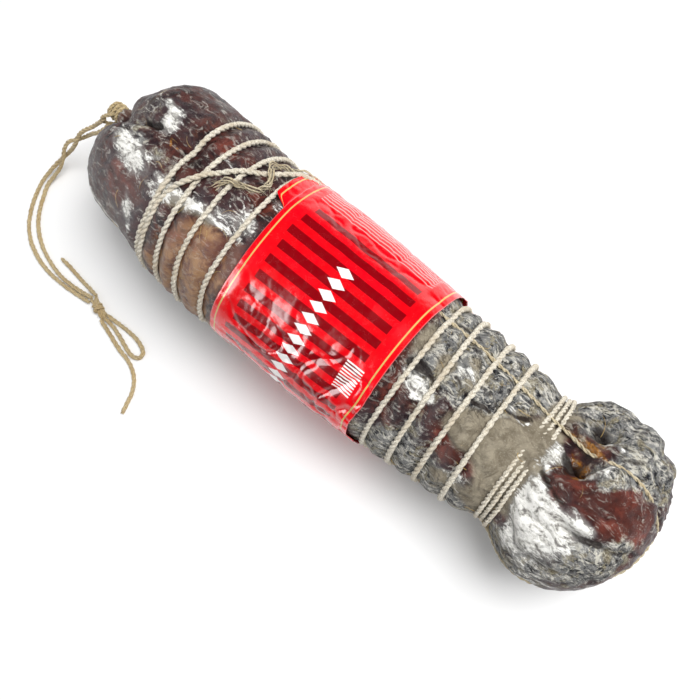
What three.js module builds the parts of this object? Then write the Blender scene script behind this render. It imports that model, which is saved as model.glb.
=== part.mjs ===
// A cured whole-muscle sausage (capocollo) in its casing, bound with cotton twine and held lengthwise by
// jute, with a band wrapped round its middle and a jute hanging loop that lies beside it.
// Millimetres, +Z up. The sausage lies along X on the plane z = 0: its tied hanging end is at -X and the
// knob below its neck tie is at +X. The origin is on that plane, under the middle of the sausage.
import * as THREE from "three";

// ---- driving dimensions ------------------------------------------------------------------------------

const CENTRING = [1, 0.3, 0]; // moves the whole model so that the origin is under the sausage's middle

const COTTON_R = 1.3; // radius of the cotton binding twine
const NECK_R = 1.1; // radius of the thinner cotton tied round the neck
const JUTE_R = 1.0; // radius of the jute that runs lengthwise
const LOOP_R = 1.05; // radius of the jute of the hanging loop
const SCRAP_R = 0.8; // radius of the loose end of jute beside the band
const GAP = 0.6; // clearance between the twine, the meat and the band
const BAND_THICKNESS = 0.5;
const TURN_LIFT = GAP + COTTON_R; // centre of a binding turn above the meat
const OVER_LIFT = TURN_LIFT + 2 * COTTON_R + 0.45; // centre of a strand that crosses over a turn
const BAND_LIFT = TURN_LIFT + COTTON_R + GAP; // inside of the band above the meat
const REST_Z = BAND_LIFT + BAND_THICKNESS; // underside of the meat; the band's underside is at z = 0
const KNOB_REST_Z = 0.4; // underside of the knob, which has no band

const LEFT_X = -118; // the rounded end at -X begins here
const LEFT_CAP = 39;
const RIGHT_X = 133; // the rounded end of the knob begins here
const RIGHT_CAP = 28;
const NUB_R = 3; // the gathered end of the casing, which the hanging loop is tied round
const NUB_LENGTH = 9;
const TIP_DIMPLE = 3; // depth of the dimple at the tip of the knob

// [x, half width, centre y, centre z] down the body
const BODY = [
  [-118, 42.8, 4.4, 42.3],
  [-90, 43.2, 0.8, 42],
  [-60, 42.8, -2.4, 41.5],
  [-25, 40.6, -1.8, 40.8],
  [10, 39.4, -2.6, 40],
  [45, 37.2, -2.8, 39.4],
  [69, 35.6, -3, 39],
  [86, 34.2, -3.2, 38.6],
  [94, 32.4, -3.4, 38.4],
  [99, 29.2, -3.4, 38.4],
  [102, 28.6, -3.4, 38.4],
  [105, 29, -3.4, 38.4],
  [109, 32.4, -3.2, 38.4],
  [114, 36.4, -3, 38.4],
  [121, 39, -2.2, 38.3],
  [133, 39.3, -0.8, 38.3],
];
const POLE_LEFT = [10, 40]; // y and z of the middle of the end at -X
const POLE_RIGHT = [2, 37];
const HEIGHT_SHARE = 0.97; // half height over half width

// Angles round the body are in degrees: 0 is +Y, 90 the top, 180 -Y and 270 the underside.
const STEP = 12; // degrees between the columns of the meat, and between sections of the twine

// Turns of the binding twine at each side of the band: [x at the top, how far both sides lie back
// towards -X, how much further +X the -Y side lies than the +Y side].
const TURNS_LEFT = [
  [-86.5, 5, 0],
  [-75, 3, 0],
  [-62.5, 3, 0],
  [-46, 4, 0],
];
const TURNS_RIGHT = [
  [45.5, 2, 0],
  [57.5, 2, 3],
  [71, 1.5, 2],
  [83.5, 0.5, 3],
];
const HIDDEN_TURNS = 6; // turns under the band
const TURN_FROM = -36; // a turn keeps its place from this angle
const TURN_TO = 216; // to this one, and moves on to the next turn underneath

const BAND_LEFT = [-37.5, 5, 0];
const BAND_RIGHT = [39, 0, 0];

const JUTE_DEPTH = 1.5; // centre of the jute below the meat's surface, in a crease
const CREASE_DEPTH = 3.8;
const CREASE_HALF = 7; // degrees from the bottom of a crease to its edge
const CREASE_CLEAR = 4.5; // degrees that an even column keeps from a crease's edge
const CREASE_START = [-172, -150]; // stations between which the creases deepen
const CREASE_END = [158, 168]; // stations between which they run out
const CREASES = [
  { angle: 43, from: -40, swing: 17 }, // the first strand, from under the band
  { angle: 178, from: -190, swing: 0 }, // the second strand
  { angle: 223, from: -190, swing: 17 }, // the first strand, coming back underneath
  { angle: 322, from: -190, swing: 0 }, // the second strand, coming back underneath
];

// Sections of the meat: from each station to the next one in the list, the distance between sections.
const MEAT_STATIONS = [
  { from: -176, step: 6.5 },
  { from: LEFT_X, step: 8.6 },
  { from: 88, step: 3.4 },
  { from: RIGHT_X, step: 4.4 },
  { from: 174, step: 0 },
];

// ---- the meat's surface ------------------------------------------------------------------------------

const { clamp, smoothstep, degToRad, lerp } = THREE.MathUtils;

// Smooth interpolation through the rows' column k, with the slopes of the neighbouring rows.
function through(rows, x, k) {
  const last = rows.length - 1;
  const at = clamp(x, rows[0][0], rows[last][0]);
  const i = clamp(rows.findIndex((row) => row[0] >= at) - 1, 0, last - 1);
  const slope = (j) => {
    const a = rows[Math.max(j - 1, 0)];
    const b = rows[Math.min(j + 1, last)];
    return (b[k] - a[k]) / (b[0] - a[0]);
  };
  const span = rows[i + 1][0] - rows[i][0];
  const t = (at - rows[i][0]) / span;
  const ease = t * t * (3 - 2 * t);
  const bend = t * (1 - t) * span;
  const straight = lerp(rows[i][k], rows[i + 1][k], ease);
  return straight + bend * ((1 - t) * slope(i) - t * slope(i + 1));
}

// The creases and hollows of the surface: each runs between two points and draws the surface in by its
// depth, within about its width.
const HOLLOWS = [
  // the cleft between the two lobes of the hanging end, over the top and underneath
  { from: [-157, 10, 47], to: [-144, 11, 70], depth: 6, width: 7 },
  { from: [-144, 11, 70], to: [-118, 12, 82], depth: 5, width: 7 },
  { from: [-118, 12, 82], to: [-88, 13, 84], depth: 2.5, width: 6 },
  { from: [-157, 10, 33], to: [-140, 8, 8], depth: 5, width: 8 },
  // the dimple at the tip of the knob, where the lengthwise strands cross
  { from: [160, 2, 37], to: [162, 2, 37], depth: TIP_DIMPLE, width: 8 },
  // shallow hollows along the body
  { from: [-30, -18, 84], to: [20, -24, 80], depth: 1.2, width: 12 },
  { from: [50, 8, 76], to: [76, 12, 74], depth: 1.2, width: 9 },
];

function hollowDepth(point) {
  let depth = 0;
  for (const hollow of HOLLOWS) {
    const line = new THREE.Line3(
      new THREE.Vector3(...hollow.from),
      new THREE.Vector3(...hollow.to),
    );
    const near = line.closestPointToPoint(point, true, new THREE.Vector3());
    const share = near.distanceToSquared(point) / (hollow.width * hollow.width);
    depth += hollow.depth * Math.exp(-share);
  }
  return depth;
}

// A point of the surface. Station u is x along the body; past LEFT_X and RIGHT_X it goes on as the
// length of a quarter circle, down to the pole of that end.
function surface(u, angle) {
  const a = degToRad(angle);
  const side = u < LEFT_X ? -1 : 1;
  const [start, cap, pole] = side < 0 ? [LEFT_X, LEFT_CAP, POLE_LEFT] : [RIGHT_X, RIGHT_CAP, POLE_RIGHT];
  const past = clamp(((u - start) * side) / cap, 0, Math.PI / 2);
  const ringSize = Math.pow(Math.cos(past), 1.25);
  const toPole = 1 - Math.cos(past);
  const x = past > 0 ? start + side * cap * Math.sin(past) : u;

  const width = through(BODY, x, 1);
  const height = width * HEIGHT_SHARE;
  const round = (width * height) / Math.hypot(height * Math.cos(a), width * Math.sin(a));
  const lumps =
    0.016 * Math.sin(2 * a + x / 37) + 0.012 * Math.sin(3 * a - x / 23) + 0.007 * Math.sin(5 * a + x / 17);
  const radius = round * (1 + lumps) * ringSize;

  // the lobes of the hanging end stand out past its tied middle, most on the -Y side
  const lobe = side < 0 && past > 0 ? -5 * Math.cos(a) - 2.5 * Math.sin(a) : 0;
  const lobeShare = smoothstep(radius, 6, 18) * (past > Math.PI / 4 ? 1 : Math.sin(2 * past));
  const point = new THREE.Vector3(
    x - lobe * lobeShare,
    lerp(through(BODY, x, 2), pole[0], toPole) + radius * Math.cos(a),
    lerp(through(BODY, x, 3), pole[1], toPole) + radius * Math.sin(a),
  );
  const outward = new THREE.Vector3(
    side * Math.sin(past),
    Math.cos(a) * Math.cos(past),
    Math.sin(a) * Math.cos(past),
  );
  point.addScaledVector(outward, -hollowDepth(point));
  point.z = Math.max(point.z, x > 100 ? KNOB_REST_Z : REST_Z);
  return point;
}

// A point at a height above the surface, along its normal.
function above(u, angle, height) {
  const here = surface(u, angle);
  const along = surface(u + 0.5, angle).sub(surface(u - 0.5, angle));
  const round = surface(u, angle + 1).sub(surface(u, angle - 1));
  const normal = round.cross(along).normalize();
  return here.addScaledVector(normal, height);
}

// Where a crease lies: past the neck the first strand swings up towards the top of the knob.
function creaseAngle({ angle, swing }, u) {
  return angle + swing * smoothstep(u, 104, 122);
}

// ---- building meshes ---------------------------------------------------------------------------------

const MATERIALS = {
  meat: { color: 0x4a2f28, roughness: 0.5 },
  cotton: { color: 0xcfc6ae, roughness: 0.9 },
  jute: { color: 0x9c824f, roughness: 0.85 },
  band: { color: 0xb80f14, roughness: 0.25 },
};

const sausage = new THREE.Group();
sausage.position.set(...CENTRING);

function add(name, geometry, material) {
  const look = new THREE.MeshStandardMaterial({ ...MATERIALS[material], metalness: 0 });
  const mesh = new THREE.Mesh(geometry, look);
  mesh.name = name;
  sausage.add(mesh);
}

// One closed surface through loops of points, each joined to the next: the last to the first where
// ring is true, and otherwise each end closed by a fan.
function loft(loops, ring) {
  const n = loops[0].length;
  const points = loops.flat();
  const index = [];
  loops.slice(ring ? 0 : 1).forEach((_, row) => {
    for (let j = 0; j < n; j++) {
      const next = (j + 1) % n;
      const [a, b] = [row * n, ((row + 1) % loops.length) * n];
      index.push(a + j, a + next, b + next, a + j, b + next, b + j);
    }
  });
  const fan = (row, flip) => {
    const middle = new THREE.Vector3();
    loops[row].forEach((p) => middle.addScaledVector(p, 1 / n));
    points.push(middle);
    for (let j = 0; j < n; j++) {
      const [a, b] = [row * n + j, row * n + ((j + 1) % n)];
      index.push(points.length - 1, ...(flip ? [b, a] : [a, b]));
    }
  };
  if (!ring) {
    fan(0, true);
    fan(loops.length - 1, false);
  }
  const geometry = new THREE.BufferGeometry().setFromPoints(points);
  geometry.setIndex(index);
  geometry.computeVertexNormals();
  return geometry;
}

// A smooth route whose sections fall on its own points.
class Route extends THREE.CatmullRomCurve3 {
  getPointAt(share, target) {
    return this.getPoint(share, target);
  }

  getTangentAt(share, target) {
    return this.getTangent(share, target);
  }
}

function tube(points, radius, sides) {
  const section = new THREE.Shape();
  for (let i = 0; i < sides; i++) {
    const a = (i * 2 * Math.PI) / sides;
    const [x, y] = [radius * Math.cos(a), radius * Math.sin(a)];
    if (i === 0) section.moveTo(x, y);
    else section.lineTo(x, y);
  }
  section.closePath();
  return new THREE.ExtrudeGeometry(section, {
    steps: points.length - 1,
    extrudePath: new Route(points),
    bevelEnabled: false,
  });
}

// ---- the meat ----------------------------------------------------------------------------------------

function meatStations() {
  const stations = [];
  MEAT_STATIONS.slice(0, -1).forEach(({ from, step }, i) => {
    const next = MEAT_STATIONS[i + 1].from;
    for (let u = from; u < next - step / 4; u += step) stations.push(u);
  });
  return stations;
}

// The columns of the surface: even steps, and three at each crease, which they follow.
function meatColumns(u) {
  const edges = CREASES.flatMap((crease) => {
    const angle = creaseAngle(crease, u);
    return [angle - CREASE_HALF, angle, angle + CREASE_HALF];
  });
  const swing = creaseAngle(CREASES[0], u) - CREASES[0].angle;
  const still = CREASES.flatMap(({ angle }) => [angle - CREASE_HALF, angle, angle + CREASE_HALF]);
  const even = [];
  for (let angle = 0; angle < 360; angle += STEP) {
    const clear = still.every((edge) => Math.abs(edge - angle) > CREASE_CLEAR);
    const share = Math.pow(Math.cos(degToRad(angle - CREASES[0].angle)), 2);
    if (clear) even.push(angle + swing * share);
  }
  return [...even, ...edges].sort((a, b) => a - b);
}

function meatPoint(u, angle) {
  const crease = CREASES.find((c) => Math.abs(creaseAngle(c, u) - angle) < 1e-6);
  if (!crease || u < crease.from) return surface(u, angle);
  const fade = smoothstep(u, ...CREASE_START) * (1 - smoothstep(u, ...CREASE_END));
  return above(u, angle, -CREASE_DEPTH * fade);
}

function meatGeometry() {
  const loops = meatStations().map((u) => meatColumns(u).map((angle) => meatPoint(u, angle)));
  const nub = (x, radius) =>
    meatColumns(LEFT_X).map((angle) => {
      const a = degToRad(angle);
      const [y, z] = POLE_LEFT;
      return new THREE.Vector3(x, y + radius * Math.cos(a), z + radius * Math.sin(a));
    });
  const base = LEFT_X - LEFT_CAP;
  const tip = base - NUB_LENGTH;
  return loft([nub(tip, 0.7 * NUB_R), nub(tip + 1, NUB_R), nub(base, NUB_R), ...loops], false);
}

add("cured_meat", meatGeometry(), "meat");

// ---- the binding twine -------------------------------------------------------------------------------

const turnX = ([top, bow, slant], angle) => {
  const c = Math.cos(degToRad(angle));
  return top - bow * c * c - (slant / 2) * c;
};

function allTurns() {
  const last = TURNS_LEFT.length - 1;
  const hidden = Array.from({ length: HIDDEN_TURNS }, (_, i) =>
    TURNS_LEFT[last].map((from, k) => lerp(from, TURNS_RIGHT[0][k], (i + 1) / (HIDDEN_TURNS + 1))),
  );
  return [...TURNS_LEFT, ...hidden, ...TURNS_RIGHT];
}

// The lead of the twine: [x, angle, height] from under the band, over the last three turns at the left,
// to where it runs down beside the first.
const LEAD = [
  [-40, 14, TURN_LIFT],
  [-43.5, 19, TURN_LIFT],
  [-46, 24, 3.2],
  [-49, 31, OVER_LIFT],
  [-51.5, 37, 3.6],
  [-54, 43, TURN_LIFT],
  [-58, 52, TURN_LIFT],
  [-61, 57, 3.4],
  [-64.2, 62, OVER_LIFT],
  [-67, 67, 3.4],
  [-70, 72, TURN_LIFT],
  [-73, 78, 3.2],
  [-76, 84, OVER_LIFT],
  [-79, 90, 3.2],
  [-81.5, 96, TURN_LIFT],
  [-84.4, 108, TURN_LIFT],
];
const BESIDE = 2 * COTTON_R + 0.5; // between the centres of two strands side by side
const CROSSING = 232; // the first turn goes over the lead at this angle, underneath
const CROSSING_REACH = 13; // degrees over which it rises there
const LEAD_END = 120; // the angle at which the lead has come down beside the first turn
const TAIL_ADVANCE = 1.2; // how far the last of the twine moves along for each section

function bindingPoints() {
  const turns = allTurns();
  const points = LEAD.map((row) => above(...row));
  const first = turns[0];

  // down beside the first turn, and under the sausage to where that turn begins
  for (let angle = LEAD_END; angle < 360 + TURN_FROM; angle += STEP) {
    const moved = smoothstep(angle, TURN_TO, 360 + TURN_FROM);
    points.push(above(turnX(first, angle) + BESIDE * (1 - moved), angle, TURN_LIFT));
  }

  turns.forEach((turn, i) => {
    for (let angle = TURN_FROM; angle <= TURN_TO; angle += STEP)
      points.push(above(turnX(turn, angle), angle, TURN_LIFT));
    const next = turns[i + 1];
    if (!next) return;
    for (let angle = TURN_TO + STEP; angle < 360 + TURN_FROM; angle += STEP) {
      const moved = smoothstep(angle, TURN_TO, 360 + TURN_FROM);
      const hump = i === 0 ? Math.exp(-Math.pow((angle - CROSSING) / CROSSING_REACH, 2)) : 0;
      const x = lerp(turnX(turn, angle), turnX(next, angle), moved);
      points.push(above(x, angle, TURN_LIFT + (OVER_LIFT - TURN_LIFT) * hump));
    }
  });
  const lastX = turnX(turns.at(-1), TURN_TO);
  for (let step = 1; step <= 3; step++)
    points.push(above(lastX + TAIL_ADVANCE * step, TURN_TO + step * STEP, TURN_LIFT));
  return points;
}

add("binding_twine", tube(bindingPoints(), COTTON_R, 6), "cotton");

// Three turns of thinner cotton round the neck.
const NECK_X = 102.2;
const NECK_TURNS = 3;
const NECK_PITCH = 3;
const NECK_STEP = 18; // degrees between sections
const NECK_LIFT = GAP + NECK_R + 0.15;

function neckPoints() {
  const points = [];
  for (let turned = 0; turned <= NECK_TURNS * 360; turned += NECK_STEP) {
    const x = NECK_X + (turned / 360 - NECK_TURNS / 2) * NECK_PITCH;
    points.push(above(x, 270 + turned, NECK_LIFT));
  }
  return points;
}

add("neck_tie", tube(neckPoints(), NECK_R, 6), "cotton");

// ---- the lengthwise jute -----------------------------------------------------------------------------

const STRAND_A_START = -30; // under the band
const STRAND_END = -141; // where the strands end, at the hanging end
const STRAND_STEP = 11; // between sections along the body
const LEAVES_CREASE = [154, 168]; // stations between which a strand rises out of its crease
// Sections over the neck and the knob
const KNOB_SECTIONS = [92, 96, 100, 104, 108, 112, 116, 120, 124, 128, 132, 136, 140, 144, 148];
const TIP_SECTIONS = [150, 155, 160, 165, 170];

// Points down one crease and back up another, over the end of the knob at a height above its pole.
function strandPoints(out, back, from, poleLift) {
  const points = [];
  const depthAt = (u) => lerp(-JUTE_DEPTH, poleLift, smoothstep(u, ...LEAVES_CREASE));
  const place = (crease, u) => points.push(above(u, creaseAngle(crease, u), depthAt(u)));
  const stations = [...KNOB_SECTIONS, ...TIP_SECTIONS];
  const body = stations[0] - 2;
  for (let u = from; u < body; u += STRAND_STEP) place(out, u);
  stations.forEach((u) => place(out, u));
  points.push(new THREE.Vector3(RIGHT_X + RIGHT_CAP - TIP_DIMPLE + poleLift, ...POLE_RIGHT));
  stations.reverse().forEach((u) => place(back, u));
  for (let u = body - STRAND_STEP / 2; u > STRAND_END; u -= STRAND_STEP) place(back, u);
  return points;
}

const [creaseA, creaseB, returnA, returnB] = CREASES;
const firstLift = GAP + JUTE_R;
const secondLift = firstLift + 2 * JUTE_R + 0.6;
add("lengthwise_jute_a", tube(strandPoints(creaseA, returnA, STRAND_A_START, firstLift), JUTE_R, 6), "jute");
add("lengthwise_jute_b", tube(strandPoints(creaseB, returnB, STRAND_END, secondLift), JUTE_R, 6), "jute");

// ---- the band ----------------------------------------------------------------------------------------

function bandGeometry() {
  const across = 6;
  const loops = [];
  for (let angle = 0; angle < 360; angle += STEP) {
    const edge = (lift, share) => {
      const x = lerp(turnX(BAND_LEFT, angle), turnX(BAND_RIGHT, angle), share);
      return above(x, angle, lift);
    };
    const shares = Array.from({ length: across + 1 }, (_, i) => i / across);
    const inner = shares.map((share) => edge(BAND_LIFT, share));
    const outer = shares.map((share) => edge(BAND_LIFT + BAND_THICKNESS, share)).reverse();
    loops.push([...inner, ...outer]);
  }
  return loft(loops, true);
}

add("label_band", bandGeometry(), "band");

// ---- the tie of the hanging end ----------------------------------------------------------------------

const TIE_TURNS = 2;
const TIE_PITCH = 2.6;
const TIE_START = LEFT_X - LEFT_CAP - 2;

function endTiePoints() {
  const points = [];
  const perTurn = 12;
  const radius = NUB_R + 0.5 + LOOP_R;
  for (let step = 0; step <= TIE_TURNS * perTurn; step++) {
    const a = (step / perTurn) * 2 * Math.PI;
    const x = TIE_START - (step / perTurn) * TIE_PITCH;
    points.push(
      new THREE.Vector3(x, POLE_LEFT[0] + radius * Math.cos(a), POLE_LEFT[1] + radius * Math.sin(a)),
    );
  }
  return points;
}

add("end_tie", tube(endTiePoints(), LOOP_R, 8), "jute");

// ---- the hanging loop --------------------------------------------------------------------------------

// Two strands leave the tie, cross twice on the way down, lie on the plane and meet in a bow.
const FLOOR = LOOP_R + 0.05;
const STRAND_OUTER = [
  [-164.2, 3.4, 42],
  [-167.4, 1, 39],
  [-170.8, -0.6, 35.6],
  [-174.6, -4, 32.6],
  [-178.4, -7.6, 30.8],
  [-182, -11.6, 27.6],
  [-184.6, -16.6, 22.4],
  [-188.6, -20.4, 17],
  [-193.2, -24.8, 12],
  [-197.4, -30, 8],
  [-201, -36.6, 4.4],
  [-203, -44.8, 1.8],
  [-201.2, -53.8, FLOOR],
  [-197.5, -62, FLOOR],
  [-192.4, -69.5, FLOOR],
  [-185.1, -75.4, FLOOR],
  [-176.3, -79.4, FLOOR],
  [-167.4, -81.6, FLOOR],
  [-158, -82.4, FLOOR],
  [-148.1, -82, FLOOR],
  [-138.8, -81, FLOOR],
  [-130.6, -79.8, FLOOR + 0.8],
];
const STRAND_INNER = [
  [-164, 2.6, 36.4],
  [-166.6, -1.4, 34.6],
  [-170.8, -5.2, 32],
  [-175.6, -6.6, 28],
  [-180.4, -9.4, 24.2],
  [-185.2, -13.6, 22],
  [-189.6, -17.8, 21.2],
  [-191.6, -22.4, 18.2],
  [-192.6, -27.6, 12.8],
  [-194.6, -33, 7.6],
  [-197, -38.4, 4.2],
  [-198.6, -45, 1.9],
  [-196.4, -52, FLOOR],
  [-192.8, -59.2, FLOOR],
  [-187.8, -65.8, FLOOR],
  [-180.6, -71.4, FLOOR],
  [-172.4, -75.4, FLOOR],
  [-163.8, -78, FLOOR],
  [-155.6, -79.4, FLOOR],
  [-147.6, -79.4, FLOOR],
  [-139.2, -78.6, FLOOR],
  [-131, -77, FLOOR + 0.8],
];
const TAIL_SHORT = [
  [-129.6, -74.4, 2.6],
  [-132.4, -74.4, 2],
  [-136.2, -74.2, FLOOR],
  [-140.4, -73.9, FLOOR],
  [-144.4, -73.5, FLOOR],
  [-148.4, -73, FLOOR],
  [-152.3, -72.5, FLOOR],
  [-157.4, -72, FLOOR],
  [-162.1, -71.8, FLOOR],
];
const BOW_LOOP = [
  [-116.8, -78.6, 2.4],
  [-113.6, -78.6, 1.7],
  [-110, -78.4, FLOOR],
  [-106.4, -78.2, FLOOR],
  [-102.8, -78, FLOOR],
  [-99.6, -78, FLOOR],
  [-96.6, -78.2, FLOOR],
  [-93.6, -78.6, FLOOR],
  [-90.6, -79.4, FLOOR],
  [-87.8, -80.8, FLOOR],
  [-86.4, -83, FLOOR],
  [-87.2, -85.2, FLOOR],
  [-89.4, -86.4, FLOOR],
  [-92.4, -86.6, FLOOR],
  [-95.4, -85.9, FLOOR],
  [-98.8, -84.8, FLOOR],
  [-102.6, -83.6, FLOOR],
  [-106.4, -82.5, FLOOR],
  [-110, -81.6, FLOOR],
  [-113.6, -81.1, 1.7],
  [-117, -81, 2.4],
];
const TAIL_LONG = [
  [-118.6, -83, 2],
  [-115.4, -84, 1.5],
  [-112, -85, FLOOR],
  [-107.2, -86.4, FLOOR],
  [-102.3, -87.8, FLOOR],
  [-96.8, -89, FLOOR],
  [-91.2, -90, FLOOR],
  [-85.6, -92.3, FLOOR],
  [-80.9, -96, FLOOR],
  [-77.6, -101.5, FLOOR],
  [-76.1, -107.2, FLOOR],
  [-74.6, -113.2, FLOOR],
];

for (const [name, route] of Object.entries({
  loop_strand_outer: STRAND_OUTER,
  loop_strand_inner: STRAND_INNER,
  loop_tail_short: TAIL_SHORT,
  bow_loop: BOW_LOOP,
  loop_tail_long: TAIL_LONG,
})) {
  const points = route.map((p) => new THREE.Vector3(...p));
  add(name, tube(points, LOOP_R, 8), "jute");
}

// The knot of the bow: an egg shape, turned to lie along the strands.
const KNOT_HALF = [6, 3.4, 2.5];
const KNOT_MIDDLE = [-124, -78.6, 2.55];
const KNOT_TURN = -18;
const knot = new THREE.SphereGeometry(1, 16, 10);
knot.scale(...KNOT_HALF);
knot.rotateZ(degToRad(KNOT_TURN));
knot.translate(...KNOT_MIDDLE);
add("loop_knot", knot, "jute");

// ---- the loose end of jute beside the band -----------------------------------------------------------

// [x, angle, height] from under the band, over one turn, over the lead, and over the next turn
const LOOSE_END = [
  [-41, 5, 1.4],
  [-44.5, 11, 1.6],
  [-47, 16, 3.4],
  [-49.8, 21, 4.9],
  [-52.4, 26, 3.4],
  [-54.8, 31, 1.5],
  [-57.6, 36, 1.4],
  [-58.6, 41, 2.8],
  [-57, 46, 4.9],
  [-54.4, 50.5, 4.6],
  [-52, 55, 2.4],
  [-51.8, 60, 1.4],
  [-53.8, 64.5, 1.4],
  [-57, 67, 1.4],
  [-60, 68.4, 2.8],
  [-62.8, 70.4, 4.9],
  [-65.2, 73.4, 3.4],
  [-66.6, 76.5, 1.5],
  [-67, 80, 1.4],
];
const looseEnd = LOOSE_END.map((row) => above(...row));
add("loose_jute_end", tube(looseEnd, SCRAP_R, 8), "jute");

export default sausage;
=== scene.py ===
"""A tied cured sausage: its casing and mould, the twines round it, the band and the hanging loop.

Lengths are in millimetres in the sausage's own frame until a mesh is made: fixed() turns them into
metres in the row frame. The skin is a grid: station u is x along the body and goes on down each rounded
end as an arc length, and the angle goes round it: 0 is +Y, 90 the top, 180 -Y and 270 the underside.
"""

import math
from functools import partialmethod

import bpy
import numpy as np
from mathutils import Matrix, Vector, noise
from mathutils.bvhtree import BVHTree


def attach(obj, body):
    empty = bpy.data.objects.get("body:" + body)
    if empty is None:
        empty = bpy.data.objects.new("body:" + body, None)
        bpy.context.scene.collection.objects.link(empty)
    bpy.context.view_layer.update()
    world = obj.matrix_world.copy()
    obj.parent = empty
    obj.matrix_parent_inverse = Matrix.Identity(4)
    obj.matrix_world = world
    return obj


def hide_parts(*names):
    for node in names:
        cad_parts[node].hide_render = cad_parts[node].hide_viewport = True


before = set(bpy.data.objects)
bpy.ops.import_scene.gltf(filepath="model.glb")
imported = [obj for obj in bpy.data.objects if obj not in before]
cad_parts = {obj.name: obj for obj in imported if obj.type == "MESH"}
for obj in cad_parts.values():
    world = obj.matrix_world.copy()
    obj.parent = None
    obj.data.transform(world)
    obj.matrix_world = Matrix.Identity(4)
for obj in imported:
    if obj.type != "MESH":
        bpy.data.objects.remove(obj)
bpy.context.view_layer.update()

MM = 0.001
CENTRING = np.array([1, 0.3, 0])  # from the sausage's own frame to the row frame
BODY = "root"
random = np.random.default_rng(11)


# ---- camera ----

TARGET = Vector((0.0137, -0.0114, 0.042))
CAMERA_DISTANCE = 0.346
CAMERA_TILT = math.radians(15)
CAMERA_ROLL = math.radians(38.4)
LENS = 39.6


def make_camera():
    back = Vector((math.sin(CAMERA_TILT), 0, math.cos(CAMERA_TILT)))
    level = Vector((math.cos(CAMERA_TILT), 0, -math.sin(CAMERA_TILT)))
    across = Vector((0, 1, 0))
    right = math.cos(CAMERA_ROLL) * level + math.sin(CAMERA_ROLL) * across
    up = math.cos(CAMERA_ROLL) * across - math.sin(CAMERA_ROLL) * level
    camera = bpy.data.objects.new("camera", bpy.data.cameras.new("camera"))
    camera.data.lens = LENS
    camera.data.clip_start = 0.01
    turn = Matrix((right, up, back)).transposed().to_4x4()
    camera.matrix_world = Matrix.Translation(TARGET + CAMERA_DISTANCE * back) @ turn
    bpy.context.collection.objects.link(camera)
    bpy.context.scene.camera = camera


make_camera()


# ---- meshes ----


def fixed(points):
    """Points in the sausage's frame, in mm, as points in the row frame, in metres."""
    return (np.asarray(points, float) + CENTRING) * MM


def make_object(name, points, faces, material):
    mesh = bpy.data.meshes.new(name)
    mesh.from_pydata(fixed(points).tolist(), [], [tuple(f) for f in faces])
    mesh.polygons.foreach_set("use_smooth", np.ones(len(mesh.polygons), bool))
    mesh.materials.append(material)
    made = bpy.data.objects.new(name, mesh)
    bpy.context.collection.objects.link(made)
    return made


def piece(made, slot, *nodes):
    """made rides on the one body and stands for the CAD nodes; slot is not used."""
    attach(made, BODY)
    if nodes:
        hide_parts(*nodes)
    return made


def join_parts(parts):
    """One list of points and one of faces from several (points, faces)."""
    points, faces, start = [], [], 0
    for part_points, part_faces in parts:
        points.append(np.asarray(part_points))
        faces.extend([tuple(i + start for i in face) for face in part_faces])
        start += len(part_points)
    return np.concatenate(points), faces


# ---- twisted cords ----


def spaced(points, step):
    """A smooth line through the points, with a point at every step."""
    points = np.asarray(points, float)
    padded = np.concatenate([2 * points[:1] - points[1:2], points, 2 * points[-1:] - points[-2:-1]])
    t = np.linspace(0, 1, 12, endpoint=False)[:, None]
    fine = []
    for a, b, c, d in zip(padded, padded[1:], padded[2:], padded[3:]):
        bend = (2 * a - 5 * b + 4 * c - d) * t**2 + (3 * b - a - 3 * c + d) * t**3
        fine.append(0.5 * (2 * b + (c - a) * t + bend))
    fine = np.concatenate(fine + [points[-1:]])
    along = np.concatenate([[0], np.cumsum(np.linalg.norm(np.diff(fine, axis=0), axis=1))])
    places = np.linspace(0, along[-1], max(int(along[-1] / step), 4) + 1)
    return np.stack([np.interp(places, along, fine[:, k]) for k in range(3)], axis=1)


def unit(vectors):
    return vectors / np.maximum(np.linalg.norm(vectors, axis=-1, keepdims=True), 1e-9)


def carried(line):
    """Two directions across the line at each of its points, carried along it without a twist."""
    tangent = unit(np.gradient(line, axis=0))
    side = np.zeros_like(line)
    start = np.cross(tangent[0], [0, 0, 1] if abs(tangent[0][2]) < 0.9 else [1, 0, 0])
    side[0] = start / np.linalg.norm(start)
    for i in range(1, len(line)):
        flat = side[i - 1] - tangent[i] * (side[i - 1] @ tangent[i])
        side[i] = flat / np.linalg.norm(flat)
    return side, np.cross(tangent, side)


def strip_faces(rows, sides):
    """Quads between rows of points that each go once round."""
    i, j = np.meshgrid(np.arange(rows - 1), np.arange(sides), indexing="ij")
    a, b = i * sides + j, i * sides + (j + 1) % sides
    return np.stack([a, b, b + sides, a + sides], axis=-1).reshape(-1, 4).tolist()


def tube(line, radius, sides):
    """Points and faces of a closed tube along a line. radius is one number or one for each point."""
    side, other = carried(line)
    turn = np.linspace(0, 2 * np.pi, sides, endpoint=False)
    radius = np.broadcast_to(radius, len(line))[:, None, None]
    ring = np.cos(turn)[:, None] * side[:, None] + np.sin(turn)[:, None] * other[:, None]
    points = (line[:, None] + radius * ring).reshape(-1, 3)
    last = len(points) - sides
    faces = strip_faces(len(line), sides)
    faces += [list(range(sides))[::-1], [last + k for k in range(sides)]]
    return points, faces


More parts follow.
